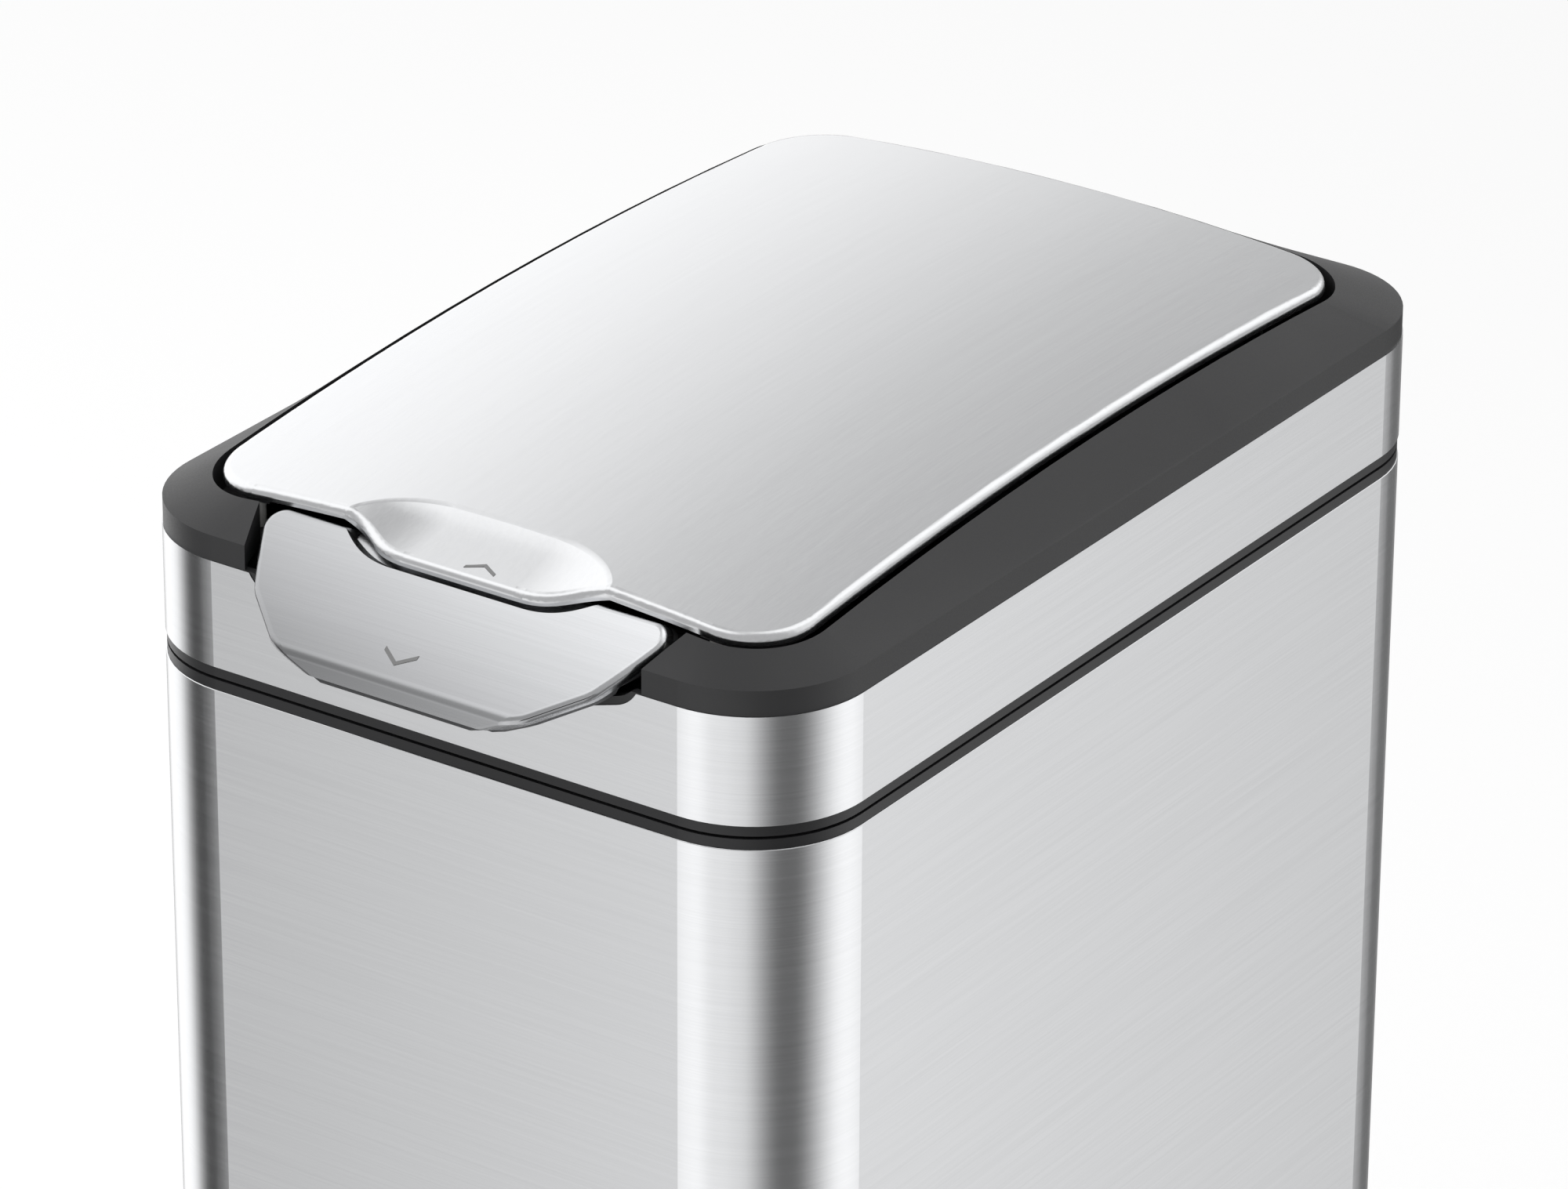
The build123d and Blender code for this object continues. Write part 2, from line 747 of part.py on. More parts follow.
def damper_screw_places():
    return [hinge_y - damper_ear_x, hinge_y + damper_ear_x]


def damper_gear():
    seat = arm_x + arm_hub_length + 1.0 + hinge_boss
    face = Pos(hinge_y, damper_z()) * gear_face(pinion_teeth, 90)
    gear_end = arm_x + arm_hub_length
    gear = yz_plate(face, gear_end - gear_width, gear_end)
    shaft = rod_x(pinion_shaft(), gear_end, seat + damper_length / 2 - slide_gap,
                  hinge_y, damper_z())
    return gear + shaft


def damper_screws():
    seat = arm_x + arm_hub_length + 1.0 + hinge_boss + 2.0
    made = []
    for y in damper_screw_places():
        screw = screw_up(0, 0, 0, hinge_boss + 2.0)
        made.append(Pos(seat, y, damper_z()) * Rot(0, -90, 0) * screw)
    return made


# Lid

def lid_plate():
    outer = rolled_lid(0, scoop_soften)
    return outer - lid_block(-lid_sheet, lid_rim) - rolled_lid(lid_sheet, lid_sheet)


def liner_outline(inset):
    width = lid_width - 2 * inset
    length = lid_length - 2 * inset - liner_back_inset
    y = lid_middle - liner_back_inset / 2
    relief = Pos(0, lid_front) * Rectangle(2 * (tongue_top_half + inset),
                                           2 * (liner_relief + inset))
    return rounded(width, length, lid_corner - inset, y) - relief


def under_liner(drop=0.0):
    """The room under the liner's skin, lowered by drop."""
    depth = lid_sheet + liner_skin + drop
    return crown_block(depth) - scoop(depth)


def lid_liner():
    rib = liner_inset + liner_skin
    pan = slab(liner_outline(liner_inset), band_top - body_width / 4, crown_top)
    pan = pan & (crown_block(lid_sheet) - scoop(lid_sheet + 2 * fit_gap))
    pan -= under_liner(liner_depth - lid_sheet - liner_skin)
    pan -= slab(liner_outline(rib), 0, crown_top) & under_liner()
    for side in (-1, 1):
        x0, x1 = sorted((side * (arm_x - slide_gap), side * (arm_x + arm_width + slide_gap)))
        slot = block(x0, x1, lid_back - liner_back_inset - 2 * rib, back, 0, crown_top)
        pan -= slot & under_liner()
    for x, y in arm_screw_places() + striker_screw_places():
        pan -= post(screw_radius + screw_play, x, y, 0, crown_z(x, y) - lid_sheet - fit_gap)
    return pan


def arm_screw_places():
    """Two screws through each arm's foot."""
    x = arm_x + arm_width / 2
    y = lid_back - liner_back_inset - liner_inset - liner_skin - arm_foot / 2
    return [(side * (x + shift), y) for side in (-1, 1)
            for shift in (-arm_foot_width / 3, arm_foot_width / 3)]


def lid_arm(side):
    """A curved arm that reaches round the bezel's lip to the rod behind it."""
    outer = arm_inner_radius + arm_ring
    ring = Circle(outer) - Circle(arm_inner_radius)
    stops = [radians(a) for a in (125, 170, 215, 260)]
    far = [(2 * outer * cos(a), 2 * outer * sin(a)) for a in stops]
    ring &= make_face(Polyline((0, 0), *far, close=True))
    bar_angle = 256
    bar = Rot(0, 0, bar_angle) * Pos(outer / 2 - arm_ring / 4, 0) * Rectangle(
        outer - arm_ring / 2, arm_hub_radius)
    shape = ring + bar
    x0, x1 = arm_x, arm_x + arm_width
    arm = yz_plate(Pos(hinge_y, hinge_z) * shape, x0, x1)
    foot_back = lid_back - liner_back_inset - liner_inset - liner_skin - fit_gap
    middle = (x0 + x1) / 2
    foot = block(middle - arm_foot_width / 2, middle + arm_foot_width / 2,
                 foot_back - arm_foot, foot_back, 0, crown_top)
    neck = block(x0, x1, foot_back - 1.0, foot_back + arm_neck, 0, crown_top)
    foot = foot + neck - under_liner(arm_foot_thickness)
    arm = (arm + foot) & under_liner()
    arm += rod_x(arm_hub_radius, x0, x0 + arm_hub_length, hinge_y, hinge_z)
    if side > 0:
        face = Pos(hinge_y, hinge_z) * gear_face(gear_teeth, 270 + 180 / gear_teeth)
        arm += yz_plate(face, x0 + arm_hub_length - gear_width, x0 + arm_hub_length)
    arm -= rod_x(rod_radius + pivot_gap, 0, reach, hinge_y, hinge_z)
    for x, y in arm_screw_places()[2:]:
        arm -= post(screw_radius + fit_gap, x, y, 0, crown_top)
        arm -= post(screw_head + slide_gap, x, y, 0, spot_z(x, y, arm_foot_thickness))
    return arm if side > 0 else mirror(arm, Plane.YZ)


def lid_arm_left():
    return lid_arm(-1)


def lid_arm_right():
    return lid_arm(1)


def spot_z(x, y, thickness):
    """Level of the flat under a screw head on a foot of this thickness."""
    return crown_z(x, y) - lid_sheet - liner_skin - thickness + spot_face


def arm_screws():
    length = arm_foot_thickness + liner_skin * 0.6
    return [screw_up(x, y, spot_z(x, y, arm_foot_thickness), length)
            for x, y in arm_screw_places()]


def striker_y():
    """Back face of the striker's web, just behind the finger scoop."""
    return lid_front + scoop_length + 3.0


def striker_screw_places():
    y = striker_y() + striker_foot / 2
    return [(-hook_half / 2, y), (hook_half / 2, y)]


def hook_top():
    return push_z + hook_rise


def lid_striker():
    lip_z = hook_top() - hook_thickness - striker_gap
    web_front = striker_y() - hook_thickness
    foot = block(-hook_half, hook_half, web_front, striker_y() + striker_foot, 0, crown_top)
    foot = (foot - under_liner(hook_thickness)) & under_liner()
    web = block(-hook_half, hook_half, web_front, striker_y(), lip_z - striker_lip, crown_top)
    lip = block(-hook_half, hook_half, push_y + hook_barb + striker_gap, striker_y(),
                lip_z - striker_lip, lip_z)
    striker = foot + (web & under_liner()) + lip
    for x, y in striker_screw_places():
        striker -= post(screw_radius + fit_gap, x, y, 0, crown_top)
        striker -= post(screw_head + slide_gap, x, y, 0, spot_z(x, y, hook_thickness))
    return striker


def striker_screws():
    length = hook_thickness + liner_skin * 0.6
    return [screw_up(x, y, spot_z(x, y, hook_thickness), length)
            for x, y in striker_screw_places()]


def lid_bumpers():
    """Soft stops under the lid's front corners, a hair above the bezel's ledge."""
    made = []
    y = lid_front + bumper_back
    for x in (-bumper_x, bumper_x):
        column = post(bumper_radius, x, y, ledge_top + striker_gap, crown_top)
        made.append(column & crown_block(liner_depth))
    return made


# Push tongue

def tongue_plane():
    slope = radians(tongue_slope)
    return Plane(origin=(0, tongue_top_y, tongue_top_z), x_dir=(1, 0, 0),
                 z_dir=(0, -sin(slope), cos(slope)))


def tongue_view():
    """The plane seen from halfway between the tongue's slope and its front."""
    lean = radians(90 - tongue_slope) / 2
    return Plane(origin=(0, tongue_top_y, tongue_top_z), x_dir=(1, 0, 0),
                 z_dir=(0, -cos(lean), sin(lean)))


def tongue_outline(inset=0.0):
    """The tongue in that view, its upper edge on y = 0."""
    lean = radians(90 - tongue_slope) / 2
    knee = (tongue_top_y - tongue_front) / cos(radians(tongue_slope))
    upright_part = tongue_top_z - tongue_bottom - knee * sin(radians(tongue_slope))
    spill = tongue_flange / 2
    run = 1 / tan(radians(tongue_low_rise))
    side, middle = tongue_side_length * cos(lean), (tongue_mid_half, -tongue_side_length
                                                    * cos(lean) / 2)
    turn = (tongue_flat_half + upright_part * run, -knee * cos(lean))
    foot = (tongue_flat_half - spill * run, -(knee + upright_part + spill) * cos(lean))
    right = [ThreePointArc((tongue_top_half, 0), middle, (tongue_side_half, -side)),
             Polyline((tongue_side_half, -side), turn, foot)]
    left = [mirror(edge, Plane.YZ) for edge in right]
    face = make_face([*right, *left, Line((-foot[0], foot[1]), foot),
                      Line((-tongue_top_half, 0), (tongue_top_half, 0))])
    corners = face.vertices().sort_by(Axis.Y)
    face = fillet(corners[-2:], tongue_tip_radius)
    face = fillet(face.vertices().sort_by(Axis.Y)[2:6], tongue_turn_radius)
    return offset(face, -inset) if inset else face


def tongue_block(inset, drop):
    """The tongue's plan under its sloped and bent surface, sunk by drop."""
    slope = radians(tongue_slope)
    top = (tongue_top_y + drop * sin(slope), tongue_top_z - drop * cos(slope))
    near = tongue_front + drop
    knee = (near, top[1] - (top[0] - near) * tan(slope))
    tail = 4 * tongue_depth
    upper = (top[0] + tail * cos(slope), top[1] + tail * sin(slope))
    low = tongue_bottom - tail
    side = make_face(Polyline(upper, knee, (near, low), (upper[0], low), close=True))
    corner = side.vertices().sort_by_distance((knee[0], knee[1], 0))[0]
    side = fillet(corner, tongue_bend - drop / 2)
    profile = yz_plate(side, -half_width, half_width)
    return profile & extrude(tongue_view() * tongue_outline(inset), body_width / 4, both=True)


def rolled_tongue():
    """The tongue's block with the edges of its visible surface rolled over."""
    shape = tongue_block(0, 0)
    seen = [f for f in shape.faces() if f.normal_at(f.center()).dot(tongue_view().z_dir) > 0.5]
    edges = [e for f in seen for e in f.edges()]
    return fillet([e for e in edges if edges.count(e) == 1], tongue_roll)


def pocket(grow=0.0):
    """The drafted tool that presses the pocket for the lid's nose."""
    def shape(shrink, level):
        half = pocket_half + grow - shrink
        flat = pocket_flat_half + grow - shrink
        low = -(pocket_length + grow - shrink)
        bend = (half - flat) / 2
        right = Bezier((half, 0), (half - bend / 2, low / 2), (flat + bend, low), (flat, low))
        left = Bezier((-flat, low), (-flat - bend, low), (-half + bend / 2, low / 2), (-half, 0))
        rest = Polyline((-half, 0), (-half, half), (half, half), (half, 0))
        face = make_face([right, Line((flat, low), (-flat, low)), left, rest])
        return tongue_plane() * (Pos(0, 0, level) * face)
    rise = tongue_depth
    lean = pocket_draft / pocket_depth
    return loft([shape(-lean * rise, rise), shape(pocket_draft, -pocket_depth - grow)])


def push_plate():
    outer = rolled_tongue() - pocket()
    core = tongue_block(lid_sheet, lid_sheet) - pocket(lid_sheet)
    below = tongue_block(-lid_sheet, tongue_flange) - pocket(tongue_flange)
    plate = outer - core - below
    return plate - block(-reach, reach, front - reach, reach, 0, tongue_bottom)


def under_skin(inset):
    """The room under the tongue's skin, pocket and all, sunk by inset."""
    return tongue_block(inset, inset) - pocket(inset)


def push_carrier():
    skin = lid_sheet + fit_gap
    shallow = tongue_flange + fit_gap
    inner = skin + carrier_wall
    rim = tongue_block(fit_gap, shallow) - pocket(shallow)
    deep = tongue_block(-skin, tongue_depth) - pocket(inner)
    body = under_skin(skin) + rim - under_skin(inner) - deep
    body -= block(-reach, reach, front - reach, reach, 0, tongue_bottom - carrier_wall)

    # Its lower corners pass above the hood's notch when the tongue is pressed
    drop = push_pin_back * sin(radians(push_travel)) + slide_gap
    body -= block(-reach, reach, front - slide_gap, reach, 0, crown_top) - notch_cut(
        notch_lip + drop)

    # Ribs that run back to the pivot, the beam between them and the spring seats
    low = push_z + push_hub_radius + 0.5
    beam_top = push_z + beam_rise
    far = push_y - hook_thickness
    rib = [(far, low - 1.0), (far, beam_top), (tongue_top_y, tongue_top_z),
           (tongue_front + tongue_depth, beam_top), (tongue_front + tongue_depth, low),
           (front + spring_back - spring_coil, low)]
    link = [(push_y - push_hub_radius, push_z), (push_y, push_z - push_hub_radius),
            (push_y + push_hub_radius, push_z), (far, beam_top),
            (far - beam_depth, beam_top), (far - beam_depth, low)]
    room = under_skin(skin)
    for side in (-1, 1):
        x0, x1 = sorted((side * (push_arm_x - push_arm_width / 2),
                         side * (push_arm_x + push_arm_width / 2)))
        body += side_plate(rib, x0, x1) & room
        body += side_plate(link, x0, x1) + rod_x(push_hub_radius, x0, x1, push_y, push_z)
        x = side * spring_x
        y = front + spring_back
        seat = post(spring_coil + 1.0, x, y, spring_top, crown_top)
        body += (seat + post(spigot_radius, x, y, spring_top - spigot_height, spring_top)) & room
    body += block(-push_arm_x, push_arm_x, far - beam_depth, far, low - 1.0, beam_top)
    for x in hook_screw_places():
        body -= rod_y(screw_radius + screw_play, x, far - beam_depth, far, hook_screw_z())
    return body - rod_x(push_pin_radius + pivot_gap, -reach, reach, push_y, push_z)


def rod_y(radius, x, y0, y1, z):
    """A round bar along Y."""
    return Pos(x, (y0 + y1) / 2, z) * Rot(90, 0, 0) * Cylinder(radius, y1 - y0)


def hook_screw_places():
    return [-hook_half + screw_head + 2.0, hook_half - screw_head - 2.0]


def hook_screw_z():
    return push_z + beam_rise - screw_head


def latch_hook():
    """The sprung catch: an upright plate with a barb towards the lid's striker."""
    low = push_z + push_pin_radius + slide_gap
    plate = block(-hook_half, hook_half, push_y - hook_thickness, push_y, low, hook_top())
    barb_low = hook_top() - hook_thickness
    barb = [(push_y, hook_top()), (push_y + hook_barb * 0.4, hook_top()),
            (push_y + hook_barb, barb_low + 1.0), (push_y + hook_barb, barb_low),
            (push_y, barb_low)]
    hook = plate + side_plate(barb, -hook_half, hook_half)
    for x in hook_screw_places():
        hook -= rod_y(screw_radius + fit_gap, x, push_y - hook_thickness, push_y, hook_screw_z())
    return hook


def latch_screws():
    screw = Rot(90, 0, 0) * screw_up(0, 0, 0, hook_thickness + beam_depth - 1.0)
    return [Pos(x, push_y, hook_screw_z()) * screw for x in hook_screw_places()]


def pin_ear_inner():
    return push_arm_x + push_arm_width / 2 + 1.0


def push_pin():
    half = pin_ear_inner() + housing_ear_wall + slide_gap
    return rod_x(push_pin_radius, -half, half, push_y, push_z)


def push_springs():
    """Two coils between the housing's floor and the tongue."""
    made = []
    play = fit_gap / 2
    length = spring_top - housing_floor - 2 * (spring_wire + play)
    path = Helix(length / spring_turns, length, spring_coil)
    wire = sweep(Plane(origin=path @ 0, z_dir=path % 0) * Circle(spring_wire), path)
    for side in (-1, 1):
        low = housing_floor + spring_wire + play
        made.append(Pos(side * spring_x, front + spring_back, low) * wire)
    return made


def latch_housing():
    """The tray under the tongue's mechanism, screwed up against the bezel."""
    half = notch_back_half + 0.4 + housing_wall
    near = front + shell_wall + fit_gap + skirt_wall + slide_gap
    far = front + housing_back
    under = ledge_top - bezel_ledge
    low = housing_floor - housing_wall
    tray = block(-half, half, near, far, low, under)
    tray -= block(-half + housing_wall, half - housing_wall, near + housing_wall,
                  far - housing_wall, housing_floor, under)
    tray -= block(-half + housing_wall, half - housing_wall, near, near + housing_wall,
                  push_z - 1.0, under)
    ears = block(-half - 8.0 * screw_head, half + 8.0 * screw_head, near,
                 near + 2 * screw_head + 4.5, under - housing_ear_wall, under)
    ears -= block(-half + 1.0, half - 1.0, near, far, 0, under)
    tray += ears & slab(outline(near - front), low, under)
    for side in (-1, 1):
        x0, x1 = sorted((side * pin_ear_inner(), side * (pin_ear_inner() + housing_ear_wall)))
        ear = side_plate([(push_y - 5.0, housing_floor), (push_y + 5.0, housing_floor),
                          (push_y + 4.0, push_z + 4.5), (push_y - 4.0, push_z + 4.5)], x0, x1)
        tray += ear
        tray += post(spigot_radius, side * spring_x, front + spring_back, low,
                     housing_floor + spigot_height)
    tray -= rod_x(push_pin_radius + screw_play / 2, -half / 2 - 10, half / 2 + 10, push_y, push_z)
    for x, y in housing_screw_places():
        tray -= post(screw_radius + fit_gap, x, y, low, under)
    return tray


def housing_screws():
    seat = ledge_top - bezel_ledge - housing_ear_wall
    return [screw_up(x, y, seat, housing_ear_wall + screw_length / 2 - 0.5)
            for x, y in housing_screw_places()]


nodes = (body_shell, base_tray, foot_pads, body_rim, inner_bucket, hood_ring, hood_band, bezel,
         bezel_screws, latch_housing, housing_screws, push_pin, push_springs, hinge_rod,
         rod_clips, lid_spring_left, lid_spring_right, damper_body, damper_screws, damper_gear,
         lid_plate, lid_liner, lid_arm_left, lid_arm_right, arm_screws, lid_striker,
         striker_screws, lid_bumpers, push_plate, push_carrier, latch_hook, latch_screws)

if __name__ == "__main__":
    os.makedirs("parts", exist_ok=True)
    for node in nodes:
        made = node()
        made = made if isinstance(made, list) else [made]
        export_step(Pos(0, tongue_reach / 2, 0) * Compound(children=made),
                    f"parts/{node.__name__}.step")
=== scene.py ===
# %% [markdown]
# # A touch top trash can, dressed for its portrait
#
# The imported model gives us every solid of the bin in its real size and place. What it
# lacks is everything the eye enjoys: the brushed grain of the steel, the soft sheen of
# the dark plastic, the small marks that show the hand its place. This file adds those,
# one cell at a time.
#
# Each cell first says what we are looking at on the real bin, then how it could be made,
# and then makes it. All lengths are metres, and +Z is up.

# %% Load the frame
import bpy
from math import cos, degrees, radians, sin
from mathutils import Matrix, Vector


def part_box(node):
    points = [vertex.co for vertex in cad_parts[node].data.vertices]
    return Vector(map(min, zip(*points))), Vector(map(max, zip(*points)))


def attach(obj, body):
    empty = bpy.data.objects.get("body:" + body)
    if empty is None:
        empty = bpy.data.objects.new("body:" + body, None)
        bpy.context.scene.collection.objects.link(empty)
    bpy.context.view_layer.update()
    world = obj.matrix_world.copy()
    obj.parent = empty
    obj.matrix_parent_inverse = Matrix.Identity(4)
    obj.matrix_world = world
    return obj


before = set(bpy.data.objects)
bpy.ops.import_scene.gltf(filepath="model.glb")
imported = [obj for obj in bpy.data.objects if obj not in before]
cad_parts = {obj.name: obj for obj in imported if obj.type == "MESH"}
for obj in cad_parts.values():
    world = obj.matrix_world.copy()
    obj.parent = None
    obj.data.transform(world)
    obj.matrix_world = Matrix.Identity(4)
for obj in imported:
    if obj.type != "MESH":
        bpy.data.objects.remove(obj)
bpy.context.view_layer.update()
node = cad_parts

# %% [markdown]
# A few levels and lengths come back in many cells, so they are measured once from the
# frame. The bin is symmetric left to right, and its front looks towards -Y. The body is
# centred a little behind the origin, because the push tongue stands out in front.

# %% Measure the frame
mm = 0.001
shell_low, shell_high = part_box("body_shell")
lid_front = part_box("lid_plate")[0].y
tongue_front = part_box("push_plate")[0].y
middle_y = (shell_low.y + shell_high.y) / 2
body_top = shell_high.z
print("body", [round((b - a) / mm, 1) for a, b in zip(shell_low, shell_high)], "mm")
print("middle y", round(middle_y, 5), "body top", round(body_top, 4))

# %% [markdown]
# ## The camera
#
# The photograph looks down on the bin's front right corner through a long lens, so the
# upright edges lean together only a little. The camera could be pointed by eye, but its
# angle can also be worked out from the edges of the body, and then every piece falls on
# its place in the picture. Here it is set from three angles, three distances from the
# middle of the body's top edge, and the length of the lens.

# %% Camera
azimuth, elevation, roll = radians(34.5006), radians(25.5815), radians(0.2817)
distance, aside, below = 2.521035, -0.004505, -0.015926
lens, sensor = 183.566, 36
back = Vector((sin(azimuth) * cos(elevation), -cos(azimuth) * cos(elevation), sin(elevation)))
level_right = Vector((cos(azimuth), sin(azimuth), 0))
level_up = back.cross(level_right)
right = cos(roll) * level_right + sin(roll) * level_up
up = cos(roll) * level_up - sin(roll) * level_right

camera = bpy.data.objects.new("portrait_camera", bpy.data.cameras.new("portrait_camera"))
bpy.context.scene.collection.objects.link(camera)
turn = Matrix((right, up, back)).transposed().to_4x4()
eye = Vector((0, middle_y, body_top)) + back * distance + right * aside + up * below
camera.matrix_world = Matrix.Translation(eye) @ turn
camera.data.lens = lens
camera.data.sensor_width = sensor
camera.data.clip_end = 20
bpy.context.scene.camera = camera
print("camera at", [round(v, 3) for v in camera.location])

# %% [markdown]
# ## Shader maths as sums
#
# A material in Blender is a graph of nodes. Wiring a dozen Math nodes by hand hides what
# they work out, so this small class wraps a socket: writing `grain * 0.3 + 0.2` adds the
# nodes. Every other node comes from the one method `add`, which takes the node's type,
# its settings, and what goes into its sockets.

# %% Socket maths
class Wire:
    """A socket that can be added, multiplied and so on."""

    def __init__(self, sheet, socket):
        self.sheet, self.socket = sheet, socket

    def _math(self, operation, *values):
        return self.sheet.add("ShaderNodeMath", {"operation": operation},
                              dict(enumerate(values)))

    def __add__(self, other):
        return self._math("ADD", self, other)

    def __sub__(self, other):
        return self._math("SUBTRACT", self, other)

    def __rsub__(self, other):
        return self._math("SUBTRACT", other, self)

    def __mul__(self, other):
        return self._math("MULTIPLY", self, other)

    __radd__, __rmul__ = __add__, __mul__

    def away_from(self, value):
        return self._math("ABSOLUTE", self - value)

    def or_less(self, other):
        return self._math("MINIMUM", self, other)

    def or_more(self, other):
        return self._math("MAXIMUM", self, other)


class Sheet:
    """One material or world with its node tree."""

    def __init__(self, owner):
        owner.use_nodes = True
        self.tree = owner.node_tree
        self.tree.nodes.clear()

    def add(self, kind, settings=None, inputs=None, out=0):
        made = self.tree.nodes.new(kind)
        for name, value in (settings or {}).items():
            setattr(made, name, value)
        for name, value in (inputs or {}).items():
            if isinstance(value, Wire):
                self.tree.links.new(value.socket, made.inputs[name])
            else:
                made.inputs[name].default_value = value
        return Wire(self, made.outputs[out]) if made.outputs else made

    def smooth(self, value, start, stop, low=0.0, high=1.0):
        """Goes softly from low to high while value goes from start to stop."""
        return self.add("ShaderNodeMapRange", {"interpolation_type": "SMOOTHSTEP"},
                        {"Value": value, "From Min": start, "From Max": stop,
                         "To Min": low, "To Max": high})

    def between(self, share, low, high):
        """A colour that goes from low to high as share goes from 0 to 1."""
        return self.add("ShaderNodeMix", {"data_type": "RGBA"},
                        {"Factor": share, 6: low, 7: high}, out=2)

    def split(self, vector):
        """The X, Y and Z of a vector."""
        return [self.add("ShaderNodeSeparateXYZ", None, {0: vector}, out=i) for i in range(3)]


print("socket maths ready")

# %% [markdown]
# ## The studio
#
# Brushed steel has hardly a colour of its own: it shows the room. In the photograph the
# flat sides are an even light grey, and each rounded corner carries a bright stripe with
# a dark band beside it. A photographer gets that with large white screens all round and
# tall black flags in the gaps. Cards standing in the scene would get in the way of the
# other views, so the room is painted on the world, by direction, and only mirror-like
# rays see it. Everything else is lit by an even pale dome.
#
# Level rays see the screens and flags. Each flag has a compass heading, the half width of
# its dark core, the angle where it has faded out, and how dark it is. The last one is no
# more than a shade on the screen, which takes the glare off the front.

# %% Screens and flags
screen_level = 1.5
flags = [(-59, 5, 35, 0.95), (66, 5, 58, 0.88), (178, 8, 46, 0.87), (-142, 4, 30, 0.75),
         (8, 8, 24, 0.20)]
world = bpy.data.worlds.new("studio")
bpy.context.scene.world = world
world.cycles.sampling_method = "NONE"
studio = Sheet(world)
east, north, rise = studio.split(studio.add("ShaderNodeTexCoord", out="Generated"))
compass = studio.add("ShaderNodeMath", {"operation": "ARCTAN2"},
                     {0: east, 1: 0.0 - north}) * degrees(1)
walls = screen_level
for heading, core, edge, depth in flags:
    turn_off = compass.away_from(heading)
    nearest = turn_off.or_less(360 - turn_off)
    walls = studio.smooth(nearest, core, edge, 1 - depth, 1.0) * walls
print("flags at", [f[0] for f in flags], "degrees")

# %% [markdown]
# The lid shows the ceiling. On the real lid the light falls off from the left edge to
# the right one, because the sheet is domed and each part of it sees another part of the
# ceiling: bright in the west, a calm grey in the rest. The rolled edges turn quickly
# through many directions, and the photograph shows them as thin white lines. The front
# edge sees a strip of ceiling towards the front, and the right edge one towards the
# right, so these two strips are bright, and they fade out before the directions that
# the flat lid would show from behind, from above or from the other side.

# %% Ceiling and dome
ceiling_level, west_glow, strip_level = 0.64, 0.96, 1.6
ceiling = (studio.smooth(east, -0.70, -0.34, west_glow, 0) * studio.smooth(north, -0.5, -0.1)
           + ceiling_level)
right_strip = (studio.smooth(east, -0.24, -0.04) * studio.smooth(east, 0.30, 0.60, 1, 0.55)
               * studio.smooth(north, -0.05, 0.30))
front_strip = (studio.smooth(north, -0.16, 0.10, 1, 0) * studio.smooth(north, -0.70, -0.45)
               * studio.smooth(east, -0.20, 0.15, 1, 0))
strips = right_strip.or_more(front_strip) * studio.smooth(rise, 0.05, 0.30)
ceiling = ceiling * (1 - strips) + strip_level * strips
overhead = studio.smooth(rise, -0.22, -0.04)
seen_in_metal = walls * (1 - overhead) + ceiling * overhead

dome_level = 0.78
glossy = studio.add("ShaderNodeLightPath", out="Is Glossy Ray")
to_camera = studio.add("ShaderNodeLightPath", out="Is Camera Ray")
level = seen_in_metal * glossy + dome_level * (1 - glossy)
level = to_camera + level * (1 - to_camera)
glow = studio.add("ShaderNodeBackground", None, {"Color": (1, 1, 1, 1), "Strength": level})
studio.add("ShaderNodeOutputWorld", None, {"Surface": glow})
print("ceiling", ceiling_level, "strips", strip_level, "dome", dome_level)

# %% [markdown]
# One large soft lamp from the upper left gives the dark plastic some shape. It is hidden
# from mirror-like rays, because the world already holds the screens they should see.

# %% Key lamp
lamp_power, lamp_width = 34, 2.4
lamp = bpy.data.objects.new("soft_key", bpy.data.lights.new("soft_key", "AREA"))
bpy.context.scene.collection.objects.link(lamp)
lamp.data.shape = "DISK"
lamp.data.size = lamp_width
lamp.data.energy = lamp_power
lamp.location = (-1.5, -1.7, 2.6)
aim = Vector((0, 0, 0.5)) - lamp.location
lamp.rotation_euler = aim.to_track_quat("-Z", "Y").to_euler()
lamp.visible_glossy = False
print("key lamp", lamp_power, "W")

# %% [markdown]
# The floor is a plain white sheet. The camera sees it as pure white except where the bin
# shades it, and mirror-like rays pass through it, so that the steel sides show the
# studio's screens right down to the foot.

# %% Floor
floor_width, floor_glow = 12, 0.2
bpy.ops.object.select_all(action="DESELECT")
bpy.ops.mesh.primitive_plane_add(size=floor_width, location=(0, 0, 0))
floor = bpy.context.object
floor.name = "studio_floor"
paper = bpy.data.materials.new("studio_paper")
sheet = Sheet(paper)
chalk = sheet.add("ShaderNodeBsdfDiffuse", None, {"Color": (0.86, 0.86, 0.86, 1)})
bright = sheet.add("ShaderNodeEmission", None, {"Color": (1, 1, 1, 1), "Strength": floor_glow})
lit = sheet.add("ShaderNodeAddShader", None, {0: chalk, 1: bright})
clear = sheet.add("ShaderNodeBsdfTransparent")
mirror_ray = sheet.add("ShaderNodeLightPath", out="Is Glossy Ray")
shown = sheet.add("ShaderNodeMixShader", None, {0: mirror_ray, 1: lit, 2: clear})
sheet.add("ShaderNodeOutputMaterial", None, {"Surface": shown})
floor.data.materials.append(paper)
print("floor", floor.dimensions.x, "m")
